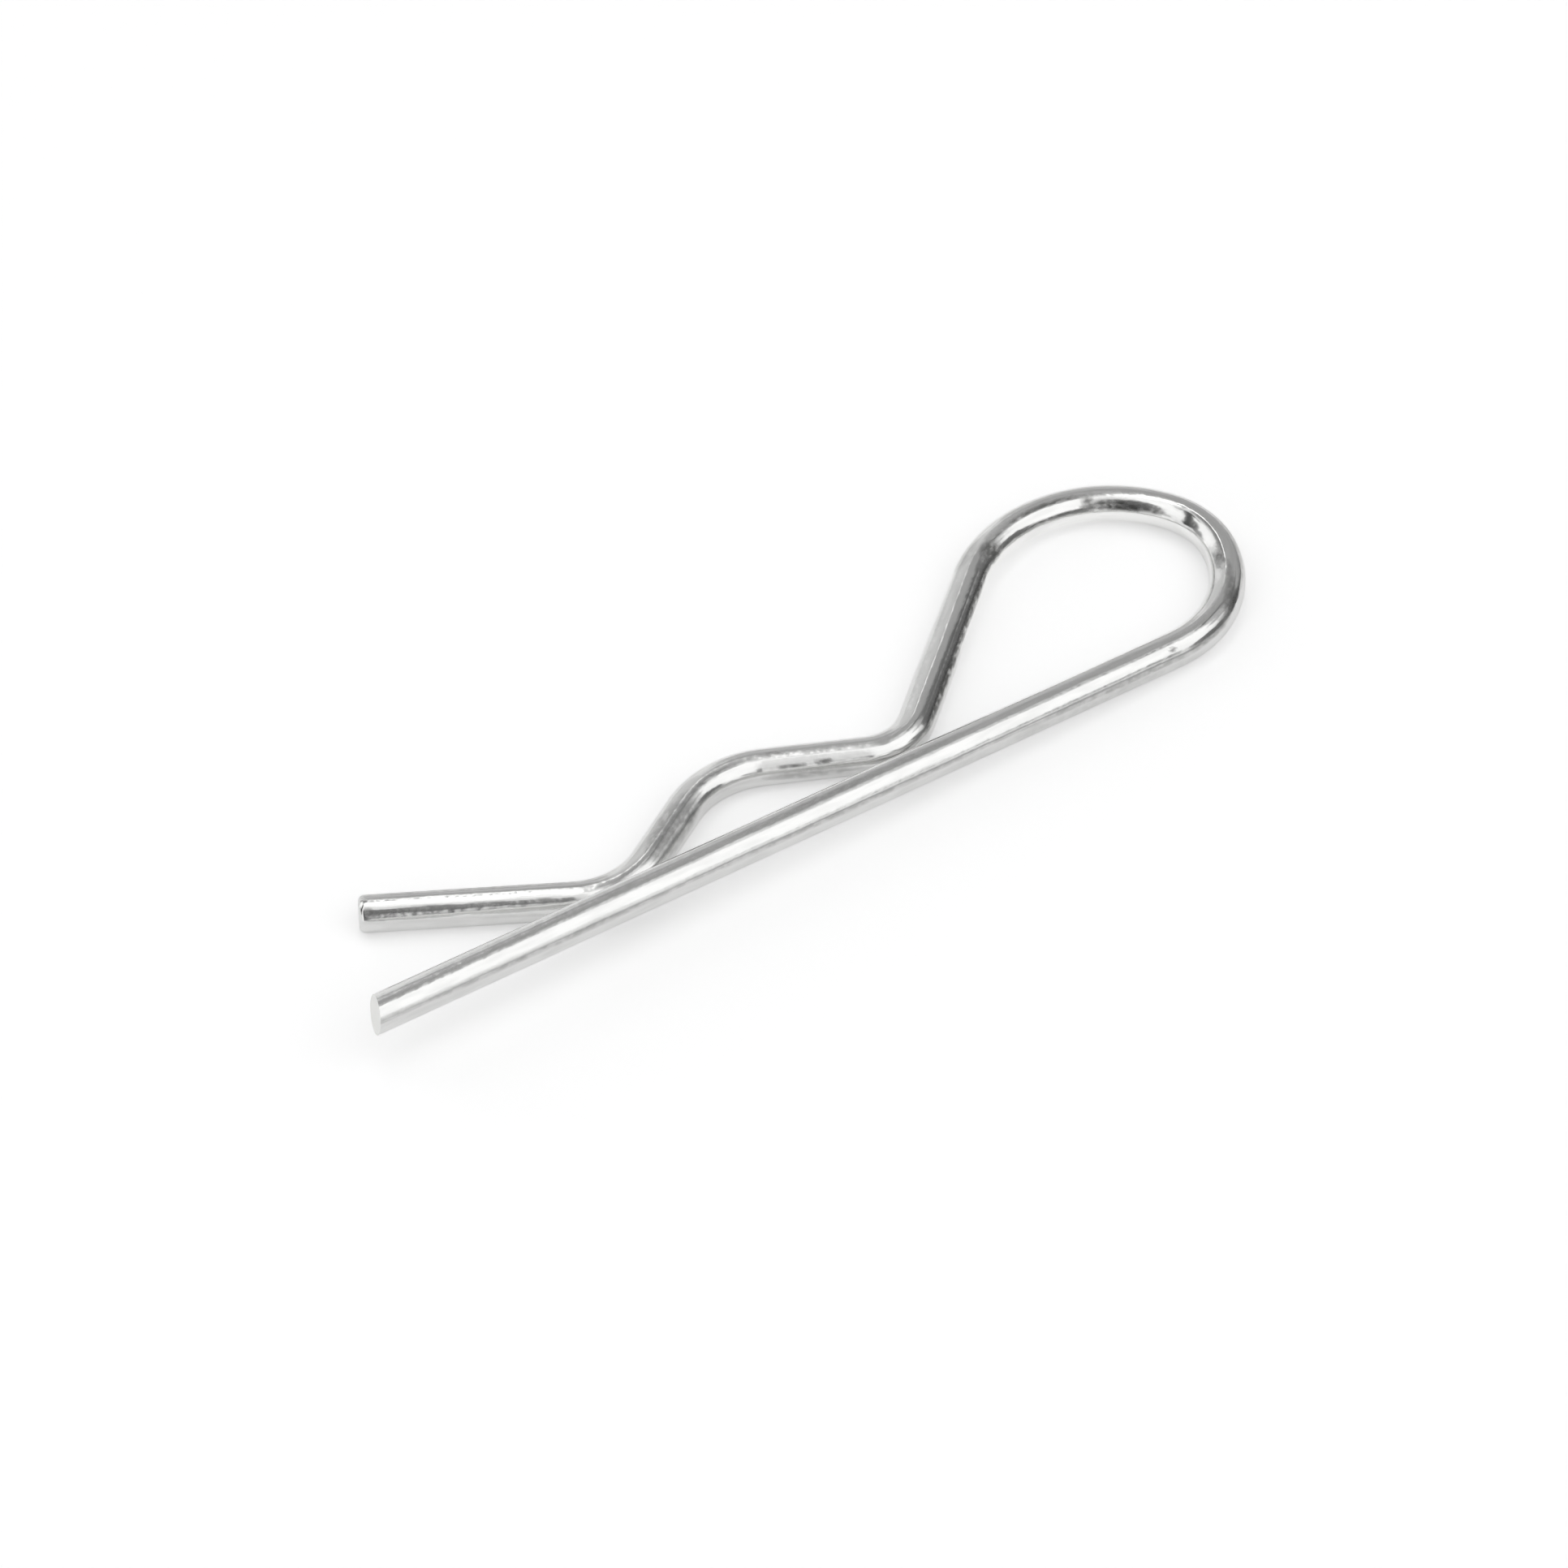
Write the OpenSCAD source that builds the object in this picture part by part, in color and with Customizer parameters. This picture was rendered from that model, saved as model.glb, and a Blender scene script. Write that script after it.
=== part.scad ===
// Safety clip bent from one round wire: a straight leg, a round eye and a waved leg.
// The eye and the waved leg lie flat. The straight leg rises slightly from the eye to its tip,
// so that the waved leg can pass beside it.
// +X runs along the straight leg towards the eye, +Y towards the waved leg, +Z up.
// The origin is the middle of the clip's box, on the surface that the clip lies on.

/* [Wire] */
// Diameter of the wire
wire_d = 3; // [2.4:0.1:3.2]
// Thinning of the wire's radius where it is bent
bend_thinning = 0.01; // [0.005:0.005:0.03]
// Slant of the sheared cut at the straight leg's tip, away from square
cut_slant = 19; // [0:1:35]
// Turn of that slant about the wire, from facing down to facing sideways
cut_turn = 68; // [0:1:90]
// Rounding of the waved leg's tip
tip_round = 0.5; // [0.1:0.05:1]

/* [Straight leg] */
// Length of the straight leg, from the eye to its tip
leg_len = 74; // [60:0.5:90]
// Rise of the straight leg out of the plane of the eye
leg_lift = 2.75; // [2.2:0.05:6]
// Bend radius where the straight leg starts to rise
lift_r = 20; // [5:1:40]

/* [Eye] */
// Bend radius of the eye beside the straight leg
eye_near_r = 9.6; // [8:0.1:13]
// Turn of that first bend
eye_near_turn = 75.4; // [50:0.1:90]
// Bend radius at the eye's nose
eye_nose_r = 7; // [4:0.1:12]
// Turn of the bend at the nose
eye_nose_turn = 49; // [20:1:80]
// Bend radius of the eye on the far side
eye_far_r = 12.3; // [9:0.1:16]
// Slope of the run from the eye down to the straight leg
run_slope = 40.4; // [30:0.1:60]

/* [Waved leg] */
// Diameter of the pin that the bump fits round, with the straight leg through its cross hole
pin_d = 13.7; // [12:0.1:20]
// Bend radius of the valley beside the eye
eye_valley_r = 5; // [3:0.1:8]
// Sideways gap between the two legs at that valley
eye_valley_gap = 0.7; // [0.5:0.05:1.5]
// Slope of the bump on the side of the eye
bump_eye_slope = 24.8; // [20:0.1:40]
// Slope of the bump on the side of the tip
bump_tip_slope = 30.1; // [22:0.1:45]
// Bend radius of the valley beside the tip
tip_valley_r = 7.1; // [3:0.1:9]
// Sideways gap between the two legs at that valley
tip_valley_gap = 0.2; // [0.1:0.05:1]
// Flare of the lead-in away from the straight leg
lead_slope = 28.7; // [15:0.1:45]
// Length of the straight lead-in
lead_len = 16.6; // [8:0.2:24]

/* [Hidden] */
$fn = 48;
wire_r = wire_d / 2;
// Length by which a bend's ends reach into its neighbours
lap = 0.1;

// Distances of the waved leg's centreline from the straight leg's, seen from above
eye_valley_y = wire_d + eye_valley_gap;
tip_valley_y = wire_d + tip_valley_gap;
bump_y = pin_d / 2 + wire_r;
// The bump is round about the pin, whose middle the straight leg crosses
bump_r = bump_y;

// Headings of the wire where the eye's first and second bends end
near_end = eye_near_turn;
nose_end = eye_near_turn + eye_nose_turn;
eye_end = 180 + run_slope;

// Place on the eye's centreline where the wire's heading is h
function eye_x(h) =
    eye_near_r * sin(min(h, near_end))
    + eye_nose_r * (sin(max(near_end, min(h, nose_end))) - sin(near_end))
    + eye_far_r * (sin(max(nose_end, h)) - sin(nose_end));
function eye_y(h) =
    eye_near_r * (1 - cos(min(h, near_end)))
    + eye_nose_r * (cos(near_end) - cos(max(near_end, min(h, nose_end))))
    + eye_far_r * (cos(nose_end) - cos(max(nose_end, h)));

// Straight lengths between the bends, so that valleys and bump keep their distance from the leg
function rise(slope) = 1 - cos(slope);
run_len = (eye_y(eye_end) - eye_valley_y - eye_valley_r * rise(run_slope)) / sin(run_slope);
bump_eye_len = (bump_y - eye_valley_y - (eye_valley_r + bump_r) * rise(bump_eye_slope))
    / sin(bump_eye_slope);
bump_tip_len = (bump_y - tip_valley_y - (tip_valley_r + bump_r) * rise(bump_tip_slope))
    / sin(bump_tip_slope);

// Bending schedule from the straight leg on, in rows of
// [feed before the bend, bend radius, turn to the left, thinning].
// Of two bends that meet, one is thinned twice as much, so that its end lies inside the other.
schedule = [
    [0, eye_near_r, eye_near_turn, bend_thinning],
    [0, eye_nose_r, eye_nose_turn, 2 * bend_thinning],
    [0, eye_far_r, eye_end - nose_end, bend_thinning],
    [run_len, eye_valley_r, -(run_slope + bump_eye_slope), bend_thinning],
    [bump_eye_len, bump_r, bump_eye_slope + bump_tip_slope, bend_thinning],
    [bump_tip_len, tip_valley_r, -(bump_tip_slope + lead_slope), bend_thinning]
];

// Way that a bend carries the wire on, when it starts at heading h
function bend_way(r, turn, h) =
    sign(turn) * r * [sin(h + turn) - sin(h), cos(h) - cos(h + turn)];
// Heading and place of the wire where row n of the schedule starts
function heading(n) = n == 0 ? 0 : heading(n - 1) + schedule[n - 1][2];
function place(n) = n == 0 ? [0, 0] :
    place(n - 1)
    + schedule[n - 1][0] * [cos(heading(n - 1)), sin(heading(n - 1))]
    + bend_way(schedule[n - 1][1], schedule[n - 1][2], heading(n - 1));

// Reach of the slanted cut past the end of the straight leg's centreline, along the clip
cut_reach = wire_r * norm([
    tan(cut_slant) * sin(cut_turn) * cos(leg_lift),
    tan(cut_slant) * cos(cut_turn) * cos(leg_lift) + sin(leg_lift)
]);

// Ends of the clip's box, seen from above
lead_start = place(len(schedule));
lead_heading = heading(len(schedule));
leg_tip_x = -lift_r * sin(leg_lift) - leg_len * cos(leg_lift) - cut_reach;
lead_tip_x = lead_start[0] - lead_len * cos(lead_slope) - wire_r * sin(lead_slope);
lead_tip_y = lead_start[1] + lead_len * sin(lead_slope) + wire_r * cos(lead_slope);
box_x = [min(leg_tip_x, lead_tip_x), eye_x(90) + wire_r - 2 * bend_thinning];
box_y = [-wire_r, max(lead_tip_y, eye_y(180) + wire_r - bend_thinning)];

// A straight piece of wire along +X
module feed(length) {
    rotate([0, 90, 0])
        cylinder(r = wire_r, h = length);
}

// A bend that starts at the origin along +X and turns to the left, or to the right if negative
module bend(r, turn, thinning) {
    lap_turn = asin(lap / r);
    first = turn > 0 ? -90 : 90 + turn;
    translate([0, sign(turn) * r, 0])
        rotate([0, 0, first - lap_turn])
            rotate_extrude(angle = abs(turn) + 2 * lap_turn)
                translate([r, 0])
                    circle(r = wire_r - thinning);
}

// A straight piece of wire along +X that ends in a slanted, sheared cut
module sheared_feed(length) {
    cutter = 2 * wire_d;
    difference() {
        feed(length + wire_d);
        translate([length, 0, 0])
            rotate([cut_turn, 0, 0])
                rotate([0, 0, cut_slant])
                    translate([0, -cutter / 2, -cutter / 2])
                        cube(cutter);
    }
}

// A straight piece of wire along +X that ends in a square cut with a rounded edge
module rounded_feed(length) {
    rotate([0, 90, 0])
        rotate_extrude() {
            square([wire_r, length - tip_round]);
            translate([0, length - tip_round])
                square([wire_r - tip_round, tip_round]);
            translate([wire_r - tip_round, length - tip_round])
                intersection() {
                    circle(r = tip_round);
                    square(tip_round);
                }
        }
}

// The straight leg, from the eye to its tip, rising from the plane of the eye
module straight_leg() {
    rise_way = bend_way(lift_r, leg_lift, 0);
    rotate([90, 0, 180]) {
        bend(lift_r, leg_lift, 2 * bend_thinning);
        translate([rise_way[0], rise_way[1], 0])
            rotate([0, 0, leg_lift])
                sheared_feed(leg_len);
    }
}

// The eye and the waved leg, one row of the schedule after another
module eye_and_waved_leg() {
    for (n = [0 : len(schedule) - 1]) {
        translate([place(n)[0], place(n)[1], 0])
            rotate([0, 0, heading(n)]) {
                if (schedule[n][0] > 0)
                    feed(schedule[n][0]);
                translate([schedule[n][0], 0, 0])
                    bend(schedule[n][1], schedule[n][2], schedule[n][3]);
            }
    }
    translate([lead_start[0], lead_start[1], 0])
        rotate([0, 0, lead_heading])
            rounded_feed(lead_len);
}

module spring_clip() {
    color("silver")
        translate([-(box_x[0] + box_x[1]) / 2, -(box_y[0] + box_y[1]) / 2, wire_r]) {
            straight_leg();
            eye_and_waved_leg();
        }
}

spring_clip();
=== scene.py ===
import bisect
import math
import bpy
from mathutils import Matrix, Vector


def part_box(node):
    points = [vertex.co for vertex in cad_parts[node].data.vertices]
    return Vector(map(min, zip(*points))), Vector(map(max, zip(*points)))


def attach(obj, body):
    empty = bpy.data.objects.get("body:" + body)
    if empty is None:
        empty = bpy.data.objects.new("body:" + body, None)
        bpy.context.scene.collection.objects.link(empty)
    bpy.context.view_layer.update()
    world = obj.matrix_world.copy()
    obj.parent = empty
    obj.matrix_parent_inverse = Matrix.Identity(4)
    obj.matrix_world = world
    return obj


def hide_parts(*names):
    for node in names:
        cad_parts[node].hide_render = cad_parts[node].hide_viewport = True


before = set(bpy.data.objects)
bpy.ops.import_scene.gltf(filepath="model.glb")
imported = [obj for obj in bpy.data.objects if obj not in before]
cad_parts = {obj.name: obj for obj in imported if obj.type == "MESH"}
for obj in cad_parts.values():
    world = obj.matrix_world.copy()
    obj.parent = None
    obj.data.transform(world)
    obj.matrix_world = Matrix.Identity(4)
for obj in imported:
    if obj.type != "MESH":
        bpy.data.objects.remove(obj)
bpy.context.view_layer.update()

mm = 0.001  # the frame is in metres, the sizes below are in millimetres


def hexColour(code):
    # sRGB hex to the linear colour that a node takes
    parts = [int(code[i:i + 2], 16) / 255 for i in (1, 3, 5)]
    linear = [c / 12.92 if c <= 0.04045 else ((c + 0.055) / 1.055) ** 2.4 for c in parts]
    return (*linear, 1.0)


def addNode(tree, kind, inputs=(), **settings):
    # adds a node; each of its inputs, in order or by name, is a value or a socket to link
    node = tree.nodes.new(kind)
    for name, value in settings.items():
        setattr(node, name, value)
    given = inputs.items() if isinstance(inputs, dict) else enumerate(inputs)
    for key, value in given:
        if isinstance(value, bpy.types.NodeSocket):
            tree.links.new(value, node.inputs[key])
        else:
            node.inputs[key].default_value = value
    return node


# the bent wire: one piece from the straight leg's tip to the lead-in's tip
clipWire = {
    "wireRadius": 1.5,
    "legLength": 74.0,
    "legLift": 2.75,        # degrees that the straight leg rises out of the eye's plane
    "liftRadius": 20.0,
    "eyeRadii": (9.6, 7.0, 12.3),
    "eyeTurns": (75.4, 49.0),        # the third turn follows from the run's slope
    "runSlope": 40.4,
    "pinDiameter": 13.7,             # of the pin that the bump is round about
    "valleyRadii": (5.0, 7.1),       # beside the eye and beside the lead-in
    "valleyGaps": (0.7, 0.2),        # sideways between the two legs
    "bumpSlopes": (24.8, 30.1),
    "leadSlope": 28.7,
    "leadLength": 16.6,
    "tipRound": 0.5,        # rounding of the lead-in's tip
    "cutSlant": 19.0,       # degrees of the sheared cut away from square
    "cutTurn": 68.0,        # degrees of that slant about the wire
    "cutReach": 4.0,        # length of the leg that slides with the sheared cut
    "ringSpacing": 0.2,     # between the swept sections
    "liftRings": 4,         # sections on the bend that lifts the leg
    "tipRings": 12,         # and on the rounding of the tip
    "sidesRound": 64,
    "sharpAngle": 40.0,     # degrees between faces from which an edge is sharp
    # dents and scuffs that the photograph shows, and long thin dark marks painted in place of its dark
    # reflections of a low horizon, which the floor hides here; the flat marks on the eye and the run are
    # painted dark reflections too. Rows of place along the wire from the straight leg's tip (mm), place
    # round it (degrees, 90 on top), half length, half width, depth (mm) and wear, which is also the
    # share of painted dark reflection (0 to 1).
    "marks": [
        # the straight leg: long faint painted dark reflections and one nick
        (15.0, 157, 18.0, 0.2, 0.0, 0.45),
        (20.0, 92, 14.0, 0.4, 0.0, 0.15),
        (42.0, 157, 22.0, 0.2, 0.0, 0.45),
        (43.0, 88, 12.0, 0.6, 0.0, 0.25),
        (64.0, 190, 14.0, 1.0, 0.0, 0.15),
        (68.0, 158, 10.0, 0.3, 0.0, 0.5),
        (73.7, 124, 0.4, 0.22, 0.01, 0.8),
        # where the leg turns into the eye: marks of the bending tool
        (77.0, 152, 2.6, 0.22, 0.01, 0.7),
        (79.0, 143, 1.6, 0.2, 0.01, 0.6),
        (80.3, 134, 2.2, 0.22, 0.01, 0.8),
        (81.0, 118, 1.4, 0.2, 0.01, 0.6),
        (82.0, 104, 1.8, 0.3, 0.01, 0.5),
        (83.5, 92, 1.5, 0.3, 0.0, 0.4),
        (84.8, 78, 0.4, 0.25, 0.01, 0.5),
        (85.4, 64, 0.5, 0.35, 0.01, 0.9),
        # the eye: a dent, and painted dark reflections round the bright patches on its far side
        (88.0, 136, 7.0, 0.45, 0.0, 0.4),
        (90.4, 47, 0.9, 0.35, 0.0, 0.8),
        (91.2, 50, 1.2, 0.8, 0.03, 0.0),
        (94.6, 36, 1.4, 0.3, 0.0, 0.9),
        (97.0, 33, 4.5, 0.18, 0.0, 1.0),
        (97.8, 43, 3.6, 0.45, 0.0, 1.0),
        (100.5, 58, 0.6, 0.7, 0.0, 0.8),
        (104.5, 77, 5.5, 0.25, 0.0, 0.9),
        (105.0, 33, 6.5, 0.15, 0.0, 1.0),
        (111.3, 55, 1.4, 1.0, 0.0, 0.9),
        # the run: painted dark reflections, mostly along its lower edge
        (112.5, 135, 2.0, 1.0, 0.0, 0.2),
        (117.5, 34, 6.5, 0.35, 0.0, 1.0),
        (118.0, 38, 8.0, 0.3, 0.0, 0.8),
        (125.5, 33, 7.5, 0.48, 0.0, 1.0),
        # the bump
        (139.5, 46, 0.8, 0.25, 0.01, 0.8),
        (140.5, 12, 4.2, 0.5, 0.0, 0.4),
        (142.0, 42, 1.3, 0.2, 0.01, 0.8),
        (143.5, 86, 1.0, 0.3, 0.0, 0.5),
        (149.5, 76, 2.5, 0.25, 0.0, 0.7),
        # the way down from the bump: a wide darker, duller patch
        (153.2, 33, 1.3, 0.35, 0.01, 0.6),
        (154.9, 66, 4.2, 1.6, 0.0, 0.45),
        # the lead-in: darker, duller marks, then small dents below them
        (167.7, 57, 0.9, 0.22, 0.01, 0.4),
        (170.8, 38, 0.6, 0.3, 0.01, 0.0),
        (171.9, 40, 0.5, 0.3, 0.01, 0.0),
        (172.2, 58, 1.8, 0.18, 0.01, 0.3),
        (173.0, 130, 12.0, 0.6, 0.0, 0.5),
        (173.0, 42, 0.6, 0.3, 0.01, 0.0),
        (173.8, 14, 1.2, 0.6, 0.02, 0.0),
        (175.2, 40, 0.6, 0.3, 0.01, 0.0),
        (176.4, 56, 2.4, 0.22, 0.01, 0.4),
        (177.1, 36, 0.6, 0.3, 0.01, 0.0),
        (178.0, 38, 0.6, 0.3, 0.01, 0.0),
        (181.4, 56, 0.5, 0.4, 0.02, 0.5),
    ],
}


def sind(angle):
    return math.sin(math.radians(angle))


def cosd(angle):
    return math.cos(math.radians(angle))


def bendingSchedule(wire):
    # rows of [feed before the bend, bend radius, turn to the left], as in the part's source
    nearR, noseR, farR = wire["eyeRadii"]
    nearTurn, noseTurn = wire["eyeTurns"]
    noseEnd = nearTurn + noseTurn
    eyeEnd = 180 + wire["runSlope"]
    valleyY = [2 * wire["wireRadius"] + gap for gap in wire["valleyGaps"]]
    bumpR = wire["pinDiameter"] / 2 + wire["wireRadius"]
    eyeEndY = (nearR * (1 - cosd(nearTurn)) + noseR * (cosd(nearTurn) - cosd(noseEnd))
               + farR * (cosd(noseEnd) - cosd(eyeEnd)))
    firstR, secondR = wire["valleyRadii"]
    upSlope, downSlope = wire["bumpSlopes"]
    runSlope = wire["runSlope"]
    runRise = eyeEndY - valleyY[0] - firstR * (1 - cosd(runSlope))
    upRise = bumpR - valleyY[0] - (firstR + bumpR) * (1 - cosd(upSlope))
    downRise = bumpR - valleyY[1] - (secondR + bumpR) * (1 - cosd(downSlope))
    return [
        (0.0, nearR, nearTurn),
        (0.0, noseR, noseTurn),
        (0.0, farR, eyeEnd - noseEnd),
        (runRise / sind(runSlope), firstR, -(runSlope + upSlope)),
        (upRise / sind(upSlope), bumpR, upSlope + downSlope),
        (downRise / sind(downSlope), secondR, -(downSlope + wire["leadSlope"])),
        (wire["leadLength"], 0.0, 0.0),
    ]


def wirePath(wire):
    # centreline from the straight leg's tip to the lead-in's tip, in the eye's own frame, in mm
    step = wire["ringSpacing"]
    lift, liftRadius, legLength = wire["legLift"], wire["liftRadius"], wire["legLength"]
    liftX, liftZ = -liftRadius * sind(lift), liftRadius * (1 - cosd(lift))
    points = []
    legSteps = round(legLength / step)
    for i in range(legSteps):
        left = legLength * (1 - i / legSteps)
        points.append((liftX - left * cosd(lift), 0.0, liftZ + left * sind(lift)))
    for i in range(wire["liftRings"]):
        angle = lift * (1 - i / wire["liftRings"])
        points.append((-liftRadius * sind(angle), 0.0, liftRadius * (1 - cosd(angle))))
    x, y, heading = 0.0, 0.0, 0.0
    for feed, radius, turn in bendingSchedule(wire):
        feedSteps = round(feed / step)
        for i in range(feedSteps):
            along = feed * i / feedSteps
            points.append((x + along * cosd(heading), y + along * sind(heading), 0.0))
        x += feed * cosd(heading)
        y += feed * sind(heading)
        if turn == 0:
            break
        side = math.copysign(radius, turn)
        centreX, centreY = x - side * sind(heading), y + side * cosd(heading)
        bendSteps = round(math.radians(abs(turn)) * radius / step)
        for i in range(bendSteps):
            to = heading + turn * i / bendSteps
            points.append((centreX + side * sind(to), centreY - side * cosd(to), 0.0))
        heading += turn
        x, y = centreX + side * sind(heading), centreY - side * cosd(heading)
    # closer rings where the tip is rounded, down to the tip itself
    while math.hypot(points[-1][0] - x, points[-1][1] - y) < wire["tipRound"] + step:
        points.pop()
    for i in range(wire["tipRings"] + 1):
        back = wire["tipRound"] * (1 - sind(90 * i / wire["tipRings"]))
        points.append((x - back * cosd(heading), y - back * sind(heading), 0.0))
    return points


def wireTree():
    # sweeps a round section along the path, thinner where the path's own sectionShare says so
    tree = bpy.data.node_groups.new("sweptWire", "GeometryNodeTree")
    sockets = tree.interface
    sockets.new_socket("Geometry", in_out="INPUT", socket_type="NodeSocketGeometry")
    sockets.new_socket("Wire radius", in_out="INPUT", socket_type="NodeSocketFloat")
    sockets.new_socket("Sides", in_out="INPUT", socket_type="NodeSocketInt")
    sockets.new_socket("Material", in_out="INPUT", socket_type="NodeSocketMaterial")
    sockets.new_socket("Geometry", in_out="OUTPUT", socket_type="NodeSocketGeometry")
    given = addNode(tree, "NodeGroupInput").outputs
    line = addNode(tree, "GeometryNodeMeshToCurve", [given["Geometry"]]).outputs[0]
    upright = addNode(tree, "GeometryNodeSetCurveNormal", [line], mode="Z_UP").outputs[0]
    along = addNode(tree, "GeometryNodeSplineParameter").outputs["Length"]
    path = addNode(tree, "GeometryNodeStoreNamedAttribute",
                   {"Geometry": upright, "Name": "alongWire", "Value": along},
                   data_type="FLOAT", domain="POINT").outputs[0]
    circle = addNode(tree, "GeometryNodeCurvePrimitiveCircle",
                     {"Resolution": given["Sides"], "Radius": given["Wire radius"]}).outputs[0]
    share = addNode(tree, "GeometryNodeInputNamedAttribute", ["sectionShare"],
                    data_type="FLOAT").outputs[0]
    swept = addNode(tree, "GeometryNodeCurveToMesh",
                    {"Curve": path, "Profile Curve": circle, "Scale": share,
                     "Fill Caps": True}).outputs[0]
    whole = addNode(tree, "GeometryNodeRealizeInstances", [swept]).outputs[0]
    dressed = addNode(tree, "GeometryNodeSetMaterial",
                      {"Geometry": whole, "Material": given["Material"]}).outputs[0]
    addNode(tree, "NodeGroupOutput", [dressed])
    return tree


def sweepWire(wire, material, points):
    line = bpy.data.meshes.new("wirePath")
    line.from_pydata(points, [(i, i + 1) for i in range(len(points) - 1)], [])
    share = line.attributes.new("sectionShare", "FLOAT", "POINT")
    rounding = wire["tipRound"]
    for i, point in enumerate(points):
        # into the tip's rounding, from 0 at its start to 1 at the tip
        into = max(0.0, 1 - (points[-1] - point).length / (rounding * mm))
        share.data[i].value = 1 - rounding * (1 - math.sqrt(1 - into * into)) / wire["wireRadius"]
    pathObject = bpy.data.objects.new("wirePath", line)
    bpy.context.scene.collection.objects.link(pathObject)
    tree = wireTree()
    sweep = pathObject.modifiers.new("sweep", "NODES")
    sweep.node_group = tree
    values = {"Wire radius": wire["wireRadius"] * mm, "Sides": wire["sidesRound"], "Material": material}
    for item in tree.interface.items_tree:
        if item.name in values:
            sweep[item.identifier] = values[item.name]
    evaluated = pathObject.evaluated_get(bpy.context.evaluated_depsgraph_get())
    mesh = bpy.data.meshes.new_from_object(evaluated)
    mesh.name = "springWire"
    pathObject.modifiers.remove(sweep)
    bpy.data.objects.remove(pathObject)
    return mesh


def markWire(wire, mesh, points):
    # dents press the surface in, and every point keeps its share of wear and painted dark reflection
    # and its place on the straight wire before bending: along it, then left of and above its middle, in
    # mm
    radius = wire["wireRadius"]
    hair = 1e-7    # metres by which a ring's length may round above its station
    stations = [0.0]
    for i in range(1, len(points)):
        stations.append(stations[-1] + (points[i] - points[i - 1]).length)
    places, wearsAndPaintedReflections = [], []
    for vertex, length in zip(mesh.vertices, mesh.attributes["alongWire"].data):
        i = min(bisect.bisect_left(stations, length.value - hair), len(points) - 1)
        way = (points[min(i + 1, len(points) - 1)] - points[max(i - 1, 0)]).normalized()
        left = Vector((-way.y, way.x, 0)).normalized()
        off = (vertex.co - points[i]) / mm
        along, aside, above = length.value / mm, off.dot(left), off.dot(way.cross(left))
        angle = math.degrees(math.atan2(above, aside))
        press, wearAndPaintedReflection = 0.0, 0.0
        for markAlong, markRound, halfLength, halfWidth, depth, wornAndPaintedReflection in wire["marks"]:
            turned = (angle - markRound + 180) % 360 - 180
            round2 = (math.radians(turned) * radius / halfWidth) ** 2
            away2 = ((along - markAlong) / halfLength) ** 2 + round2
            if away2 < 1:
                press += depth * (1 - away2) ** 2
                # share of wear, and on the flat marks of painted dark reflection
                wearAndPaintedReflection = max(wearAndPaintedReflection, wornAndPaintedReflection * (1 - away2) ** 0.5)
        vertex.co -= (left * aside + way.cross(left) * above).normalized() * press * mm
        places += (along, aside, above)
        wearsAndPaintedReflections.append(wearAndPaintedReflection)
    mesh.attributes.new("wirePlace", "FLOAT_VECTOR", "POINT").data.foreach_set("vector", places)
    mesh.attributes.new("wearAndPaintedReflection", "FLOAT", "POINT").data.foreach_set("value", wearsAndPaintedReflections)
    # the flat faces on the tips have more corners than any other
    caps = [1.0 if len(face.vertices) > 4 else 0.0 for face in mesh.polygons]
    mesh.attributes.new("cutFace", "FLOAT", "FACE").data.foreach_set("value", caps)


def shearTip(wire, mesh, points):
    # the sheared cut slides points along the leg only, so the wire stays round
    slope = math.tan(math.radians(wire["cutSlant"]))
    alongY, alongUp = slope * sind(wire["cutTurn"]), slope * cosd(wire["cutTurn"])
    way = (points[0] - points[1]).normalized()
    upLeg = Vector((sind(wire["legLift"]), 0, cosd(wire["legLift"])))
    reach = wire["cutReach"] * mm
    for vertex, length in zip(mesh.vertices, mesh.attributes["alongWire"].data):
        if length.value < reach:
            off = vertex.co - points[0]
            slide = alongY * off.y + alongUp * off.dot(upLeg)
            vertex.co -= way * slide * (1 - length.value / reach)


def makeWire(wire, material):
    points = [Vector(p) * mm for p in wirePath(wire)]
    mesh = sweepWire(wire, material, points)
    markWire(wire, mesh, points)
    shearTip(wire, mesh, points)
    # into the part's frame: the eye's own frame moves so that the box fits the part's
    lowest = Vector([min(v.co[i] for v in mesh.vertices) for i in range(3)])
    highest = Vector([max(v.co[i] for v in mesh.vertices) for i in range(3)])
    low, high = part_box("spring_clip")
    shift = Vector(((low[0] + high[0] - lowest.x - highest.x) / 2,
                    (low[1] + high[1] - lowest.y - highest.y) / 2, low[2] - lowest.z))
    mesh.transform(Matrix.Translation(shift))
    mesh.polygons.foreach_set("use_smooth", [True] * len(mesh.polygons))
    mesh.set_sharp_from_angle(angle=math.radians(wire["sharpAngle"]))
    piece = bpy.data.objects.new("springWire", mesh)
    bpy.context.scene.collection.objects.link(piece)
    print("wire: shift", [round(c / mm, 3) for c in shift], "mm,", len(mesh.polygons), "faces")
    return piece


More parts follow.
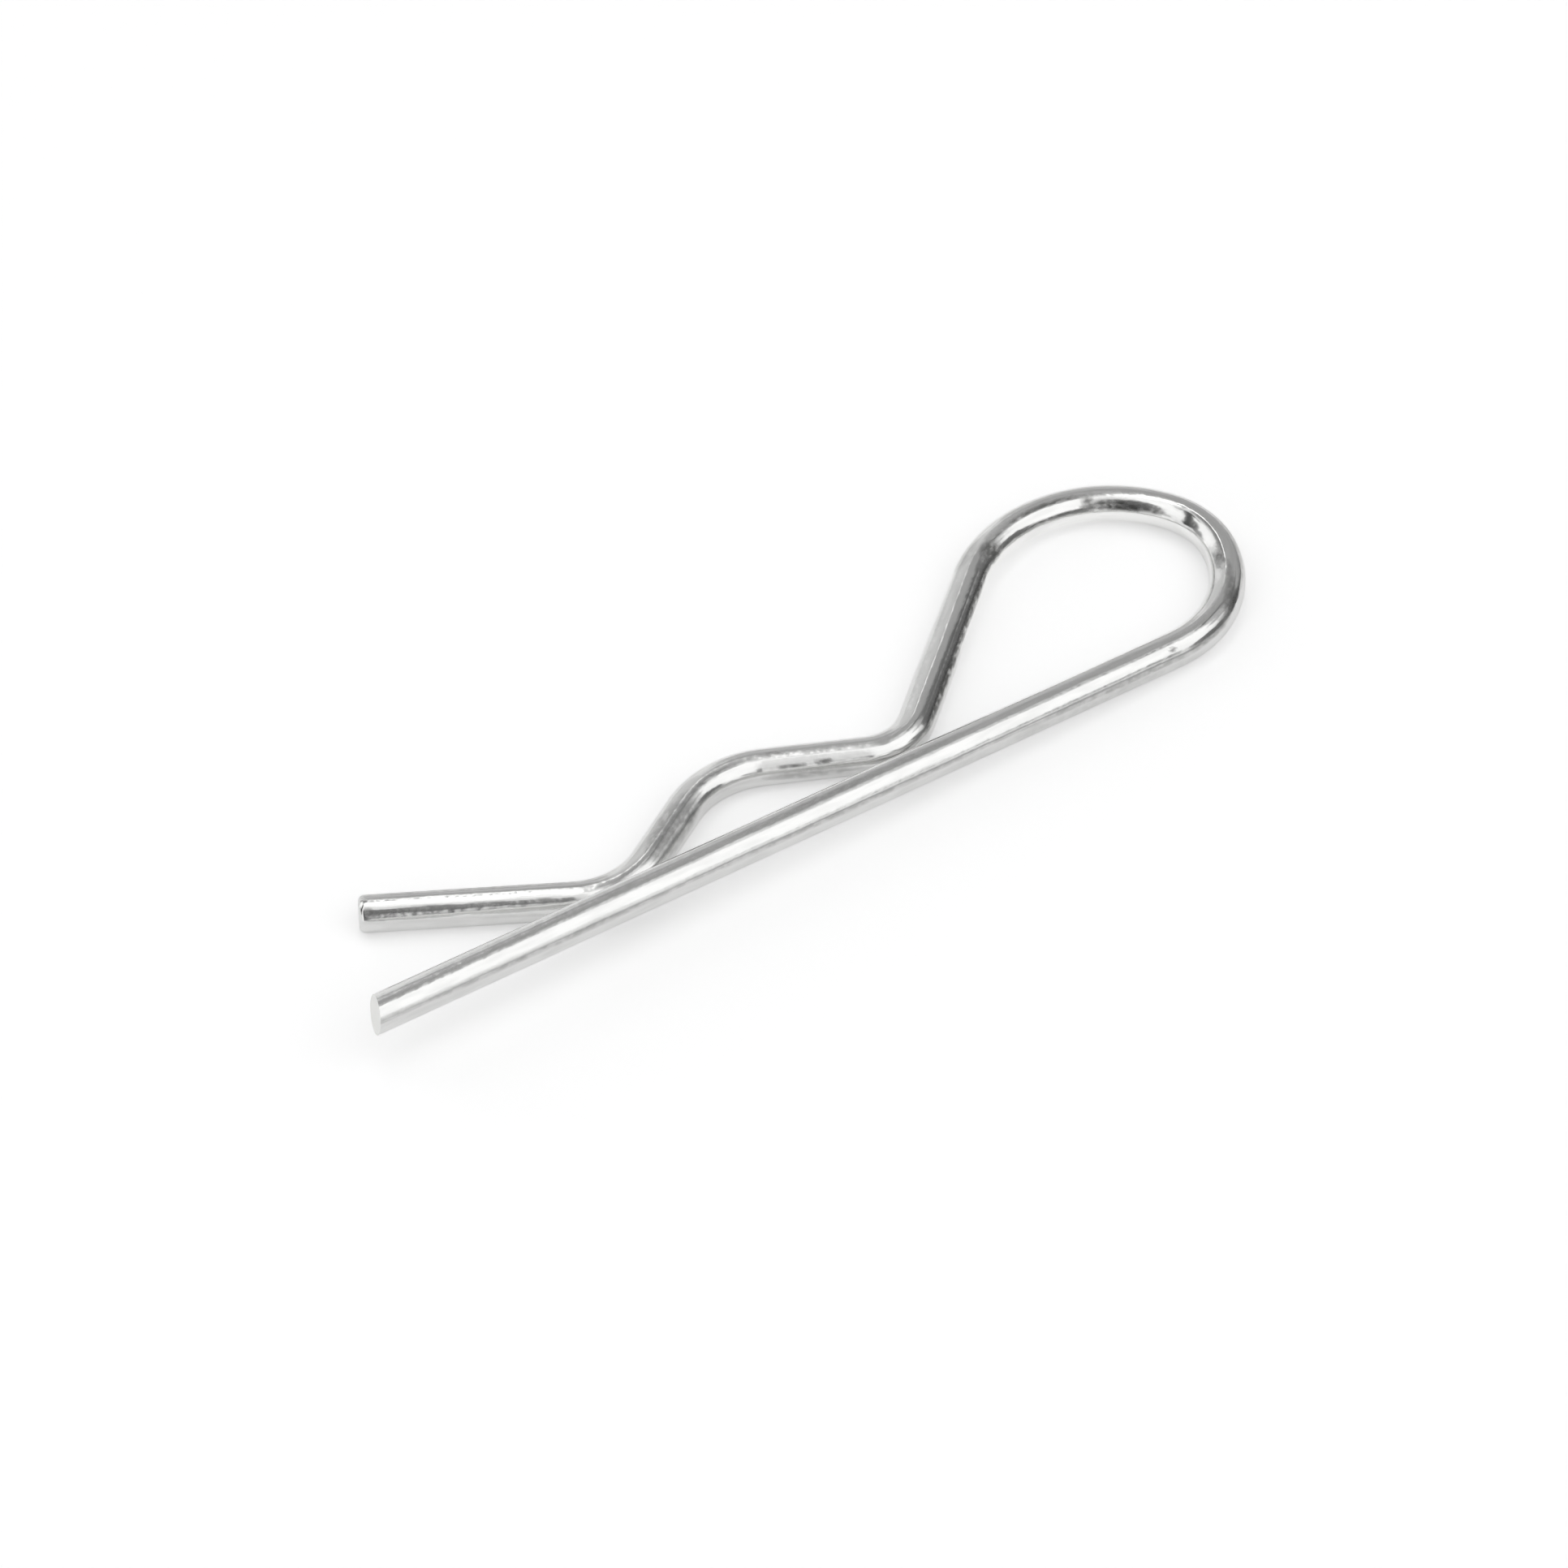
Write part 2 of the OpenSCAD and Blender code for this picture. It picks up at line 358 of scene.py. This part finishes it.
# electroplated zinc on drawn spring steel: a bright neutral grey mirror, streaked by the drawing
# die, rippled across by the straightener's rolls and grained by the plating
zincPlating = {
    "colour": "#E8E8E7",
    "cloudColour": "#C6C6C5",    # thicker, duller plating, in clouds drawn out along the wire
    "wornAndPaintedReflectionColour": "#5C5C5A",     # where tools scuffed the plating off the steel, and painted dark reflections on the flat marks
    "cutColour": "#F4F4F2",      # fresh metal of the cut tips, plated thinly
    "cutRoughness": 0.45,
    "roughness": 0.15,
    "wornAndPaintedReflectionRoughness": 0.35,
    # patterns of the relief: length along the wire, width round it and height, in mm
    "relief": {
        "ripples": (1.2, 1.8, 0.016),      # of the straightener's rolls
        "waves": (9.0, 1.5, 0.055),        # slow ones, which bend the edges of the reflections
        "dieLines": (14.0, 0.30, 0.007),   # drawn coarser than they are so that they show
        "grain": (0.7, 0.4, 0.010),        # of the plating
    },
    "streaks": (10.0, 0.5, 0.10),    # length, width (mm) and added roughness of hazy streaks
    "clouds": (3.0, 0.6, 0.25),      # length, width (mm) and share of the cloud colour
    "cloudLevels": (0.4, 0.68),      # of the pattern, from clear plating to a full cloud
    "tornLevels": (0.35, 0.6),       # of the grain, from half the wear to all of it
}


def makeZinc(plating):
    material = bpy.data.materials.new("electroplatedZincWire")
    material.use_nodes = True
    tree = material.node_tree
    shader = tree.nodes["Principled BSDF"]
    place = addNode(tree, "ShaderNodeAttribute", attribute_name="wirePlace").outputs["Vector"]
    wearAndPaintedReflection = addNode(tree, "ShaderNodeAttribute", attribute_name="wearAndPaintedReflection").outputs["Fac"]
    patterns = {}
    drawnOut = {**plating["relief"], "streaks": plating["streaks"], "clouds": plating["clouds"]}
    for name, (length, width, _) in drawnOut.items():
        spread = addNode(tree, "ShaderNodeVectorMath", [place, (1 / length, 1 / width, 1 / width)],
                         operation="MULTIPLY").outputs[0]
        patterns[name] = addNode(tree, "ShaderNodeTexNoise",
                                 {"Vector": spread, "Scale": 1.0, "Detail": 1.0}).outputs[0]
    height = 0.0
    for name, (_, _, tall) in plating["relief"].items():
        height = addNode(tree, "ShaderNodeMath", [patterns[name], tall, height],
                         operation="MULTIPLY_ADD").outputs[0]
    cut = addNode(tree, "ShaderNodeAttribute", attribute_name="cutFace").outputs["Fac"]
    drawn = addNode(tree, "ShaderNodeMath", [1.0, cut], operation="SUBTRACT").outputs[0]
    bumped = addNode(tree, "ShaderNodeBump",
                     {"Strength": drawn, "Height": height, "Distance": mm}).outputs[0]
    # the plating's grain breaks up the worn spots and the painted dark reflections
    torn = addNode(tree, "ShaderNodeMapRange",
                   [patterns["grain"], *plating["tornLevels"], 0.5, 1.0]).outputs[0]
    wornAndPaintedReflection = addNode(tree, "ShaderNodeMath", [wearAndPaintedReflection, torn], operation="MULTIPLY").outputs[0]
    cloud = addNode(tree, "ShaderNodeMapRange",
                    [patterns["clouds"], *plating["cloudLevels"], 0.0, plating["clouds"][2]]).outputs[0]
    # a mix takes its share at input 0, numbers at 2 and 3, and colours at 6 and 7
    colour = hexColour(plating["colour"])
    # the dark colour paints tool wear and, on the flat marks, painted dark reflections
    for share, code in ((cloud, "cloudColour"), (wornAndPaintedReflection, "wornAndPaintedReflectionColour"), (cut, "cutColour")):
        colour = addNode(tree, "ShaderNodeMix", {0: share, 6: colour, 7: hexColour(plating[code])},
                         data_type="RGBA").outputs[2]
    haze = plating["streaks"][2]
    rough = addNode(tree, "ShaderNodeMath", [patterns["streaks"], haze, plating["roughness"] - haze / 2],
                    operation="MULTIPLY_ADD").outputs[0]
    for share, level in ((wornAndPaintedReflection, "wornAndPaintedReflectionRoughness"), (cut, "cutRoughness")):
        rough = addNode(tree, "ShaderNodeMix", {0: share, 2: rough, 3: plating[level]}).outputs[0]
    tree.links.new(colour, shader.inputs["Base Color"])
    tree.links.new(rough, shader.inputs["Roughness"])
    tree.links.new(bumped, shader.inputs["Normal"])
    shader.inputs["Metallic"].default_value = 1.0
    return material


zinc = makeZinc(zincPlating)
springWire = makeWire(clipWire, zinc)
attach(springWire, "root")
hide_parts("spring_clip")

# pale studio floor: paper that the camera and the metal see lighter than it lights the clip
floorLook = {
    "colour": "#F4F4F4",
    "roughness": 0.8,
    "size": 4.0,          # metres
    "lift": 0.33,         # glow that the camera sees on it
    "openShare": 0.52,    # share of the lift that the metal sees
    "paintedLightPoolShare": 1.3,     # the same inside the eye, where the photograph's metal is lighter: a painted pool of light on the floor, which the metal reflects
    "paintedLightPoolCentre": (28.0, 5.0, 0.0),    # mm
    "paintedLightPoolRadii": (4.0, 17.0),          # mm, where that light starts to fade and where it ends
}


def makeFloor(look):
    half = look["size"] / 2
    mesh = bpy.data.meshes.new("studioFloor")
    corners = [(-half, -half, 0), (half, -half, 0), (half, half, 0), (-half, half, 0)]
    mesh.from_pydata(corners, [], [(0, 1, 2, 3)])
    floor = bpy.data.objects.new("studioFloor", mesh)
    bpy.context.scene.collection.objects.link(floor)
    material = bpy.data.materials.new("paleFloor")
    material.use_nodes = True
    tree = material.node_tree
    shader = tree.nodes["Principled BSDF"]
    shader.inputs["Base Color"].default_value = hexColour(look["colour"])
    shader.inputs["Roughness"].default_value = look["roughness"]
    shader.inputs["Emission Color"].default_value = (1, 1, 1, 1)
    rays = addNode(tree, "ShaderNodeLightPath").outputs
    mirrored = addNode(tree, "ShaderNodeMath", [rays["Is Glossy Ray"], rays["Is Transmission Ray"]],
                       operation="ADD").outputs[0]
    # a painted pool of light on the floor inside the eye, seen only in the metal's reflections
    place = addNode(tree, "ShaderNodeTexCoord").outputs["Object"]
    awayFromPaintedPool = addNode(tree, "ShaderNodeVectorMath", [place, Vector(look["paintedLightPoolCentre"]) * mm],
                   operation="DISTANCE").outputs["Value"]
    fadeFrom, fadeTo = look["paintedLightPoolRadii"]
    share = addNode(tree, "ShaderNodeMapRange",
                    [awayFromPaintedPool, fadeFrom * mm, fadeTo * mm, look["paintedLightPoolShare"], look["openShare"]],
                    interpolation_type="SMOOTHSTEP").outputs[0]
    seen = addNode(tree, "ShaderNodeMath", [mirrored, share, rays["Is Camera Ray"]],
                   operation="MULTIPLY_ADD").outputs[0]
    lift = addNode(tree, "ShaderNodeMath", [seen, look["lift"]], operation="MULTIPLY").outputs[0]
    tree.links.new(lift, shader.inputs["Emission Strength"])
    mesh.materials.append(material)
    print("floor ready")


makeFloor(floorLook)

# studio light: a pale tent all round, with soft boxes and darker cards in front of it, as the
# wire's reflections show them. They were placed one by one, then refined by a fit to the
# photograph's reflections and rounded. Rows of direction (degrees from +X to +Y, degrees up),
# roll, half width and half height (degrees as seen from the clip) and glow, the farthest first.
studio = {
    "tentGlow": 0.89,
    "farthest": 5.0,    # metres from the clip to the first card
    "nearest": 1.2,     # and to the last one
    "cards": [
        # wide grey walls and dark flags, far away
        (44, 12, 86, 68.0, 18.5, 0.48),
        (-20, 6, 23, 31.0, 16.5, 0.71),
        (-99, 21, 12, 24.5, 23.5, 0.21),
        (-132, 38, 106, 29.5, 16.0, 0.16),
        (152, 44, -1, 20.5, 28.5, 0.05),
        (98, 28, 30, 6.0, 23.0, 0.37),
        (6, 25, -34, 19.0, 31.5, 0.14),
        (39, 38, 40, 39.5, 17.0, 0.41),
        (-44, 20, 55, 11.5, 18.0, 0.16),
        # soft boxes, and a bright strip above them
        (-54, 48, -41, 25.0, 30.5, 1.23),
        (132, 20, 22, 13.5, 38.5, 1.23),
        (178, 60, 99, 36.0, 11.0, 1.23),
        (66, 63, 93, 18.5, 5.0, 2.20),
        # small flags and strips, which shape the edges of those reflections
        (81, 14, 17, 7.0, 33.5, 0.67),
        (-163, 14, 24, 14.0, 21.5, 1.02),
        (13, 8, -7, 14.5, 21.5, 0.40),
        (-2, 0, -18, 25.0, 8.0, 0.03),
        (-112, 21, 2, 6.5, 23.0, 0.90),
        (-2, 46, -38, 5.5, 10.5, 0.53),
        (142, 15, -6, 8.5, 10.0, 0.36),
        (71, 54, -3, 4.5, 10.0, 0.19),
        (-71, 22, 10, 11.5, 3.5, 1.07),
        (-60, 4, 31, 11.0, 4.5, 0.34),
        (-132, 30, -1, 9.5, 13.5, 0.06),
        (-94, 27, 40, 5.0, 3.0, 0.94),
        (59, 8, 2, 10.0, 13.5, 0.57),
        (20, 69, -31, 13.5, 3.0, 0.35),
        (-15, 40, -8, 5.0, 5.5, 0.50),
        (-26, 10, -24, 2.5, 12.0, 0.58),
    ],
}


def makeStudio(look):
    world = bpy.data.worlds.new("paleTent")
    bpy.context.scene.world = world
    world.use_nodes = True
    glow = look["tentGlow"]
    world.node_tree.nodes["Background"].inputs["Color"].default_value = (glow, glow, glow, 1)
    corners, faces, glows = [], [], []
    count = len(look["cards"])
    for row, (turnTo, upTo, roll, halfWide, halfHigh, cardGlow) in enumerate(look["cards"]):
        distance = look["farthest"] * (look["nearest"] / look["farthest"]) ** (row / (count - 1))
        centre = Vector((cosd(upTo) * cosd(turnTo), cosd(upTo) * sind(turnTo), sind(upTo)))
        level = Vector((-sind(turnTo), cosd(turnTo), 0))
        steep = centre.cross(level)
        wide = level * cosd(roll) + steep * sind(roll)
        high = steep * cosd(roll) - level * sind(roll)
        wide *= math.tan(math.radians(halfWide))
        high *= math.tan(math.radians(halfHigh))
        first = len(corners)
        for a, b in ((-1, -1), (1, -1), (1, 1), (-1, 1)):
            corners.append((centre + wide * a + high * b) * distance)
        faces.append(range(first, first + 4))
        glows.append(cardGlow)
    mesh = bpy.data.meshes.new("studioCards")
    mesh.from_pydata(corners, [], faces)
    mesh.attributes.new("cardGlow", "FLOAT", "FACE").data.foreach_set("value", glows)
    material = bpy.data.materials.new("glowingCard")
    material.use_nodes = True
    tree = material.node_tree
    tree.nodes.remove(tree.nodes["Principled BSDF"])
    shine = addNode(tree, "ShaderNodeAttribute", attribute_name="cardGlow").outputs["Fac"]
    light = addNode(tree, "ShaderNodeEmission", {"Strength": shine}).outputs[0]
    tree.links.new(light, tree.nodes["Material Output"].inputs["Surface"])
    mesh.materials.append(material)
    cards = bpy.data.objects.new("studioCards", mesh)
    bpy.context.scene.collection.objects.link(cards)
    cards.visible_camera = False
    print("studio:", count, "cards")


makeStudio(studio)

# camera at the photograph's viewing angle
viewFrom = {
    "turn": 33.515,      # degrees from the -Y side towards the -X side
    "height": 48.0,      # degrees up
    "distance": 500.0,
    "target": (-2.254, -3.920, 1.5),
    "width": 123.33,     # what the picture spans at the target
    "sensor": 36.0,
    "clip": (0.01, 20.0),    # metres
}


def makeCamera(look):
    turn, height = look["turn"], look["height"]
    back = Vector((-sind(turn) * cosd(height), -cosd(turn) * cosd(height), sind(height)))
    right = Vector((cosd(turn), -sind(turn), 0))
    camera = bpy.data.objects.new("photoCamera", bpy.data.cameras.new("photoCamera"))
    bpy.context.scene.collection.objects.link(camera)
    axes = Matrix((right, back.cross(right), back)).transposed().to_4x4()
    place = (Vector(look["target"]) + back * look["distance"]) * mm
    camera.matrix_world = Matrix.Translation(place) @ axes
    camera.data.sensor_width = look["sensor"]
    camera.data.lens = look["sensor"] * look["distance"] / look["width"]
    camera.data.clip_start, camera.data.clip_end = look["clip"]
    bpy.context.scene.camera = camera
    bpy.context.scene.view_settings.view_transform = "Standard"
    print("camera ready")


makeCamera(viewFrom)
